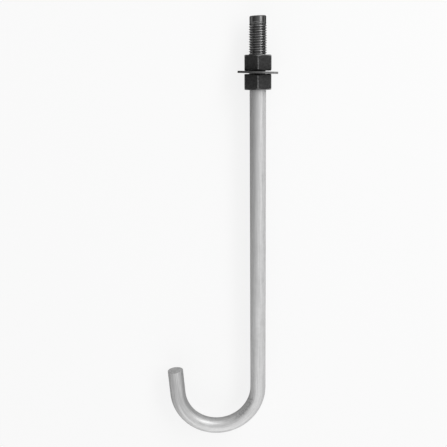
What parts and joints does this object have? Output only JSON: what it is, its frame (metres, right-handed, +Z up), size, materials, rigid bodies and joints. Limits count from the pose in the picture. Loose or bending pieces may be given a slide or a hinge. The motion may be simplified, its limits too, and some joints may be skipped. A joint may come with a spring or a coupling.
{
  "type": "j bolt",
  "caption": "Steel J bolt lying on its side: a bar bent to a hook at one end and threaded at the other, with a flat washer held loosely between hex nuts.",
  "frame": {"origin": "centre of the threaded end face, on the bar's axis", "axes": "+Y along the bar, out of its threaded end; the hook turns to -X and back towards +Y; +Z up, square to the hook's plane, as the bolt lies"},
  "size_m": [0.1264, 0.4737, 0.0434],
  "materials": {
    "bar": "matt zinc grey, with the thread black",
    "nut": "black oxide, satin",
    "washer": "plain steel, dull"
  },
  "bodies": {
    "bar": {"rod": "bar"},
    "lower_nut": {"lower_nut": "nut"},
    "washer": {"washer": "washer"},
    "upper_nut": {"upper_nut": "nut"}
  },
  "joints": [
    {"name": "lower_nut_turn", "type": "hinge", "parent": "bar", "child": "lower_nut", "pos_m": [0, -0.0684, 0], "axis": [0, 1, 0], "range_deg": [0, 148]},
    {"name": "upper_nut_turn", "type": "hinge", "parent": "bar", "child": "washer", "pos_m": [0, -0.0584, 0], "axis": [0, 1, 0], "range_deg": [0, 7020]},
    {"name": "upper_nut_rise", "type": "slide", "parent": "washer", "child": "upper_nut", "axis": [0, 1, 0], "range_m": [0, 0.04954]}
  ],
  "couplings": [
    {"joint": "upper_nut_rise", "follows": "upper_nut_turn", "m_per_rad": 0.00040425}
  ]
}
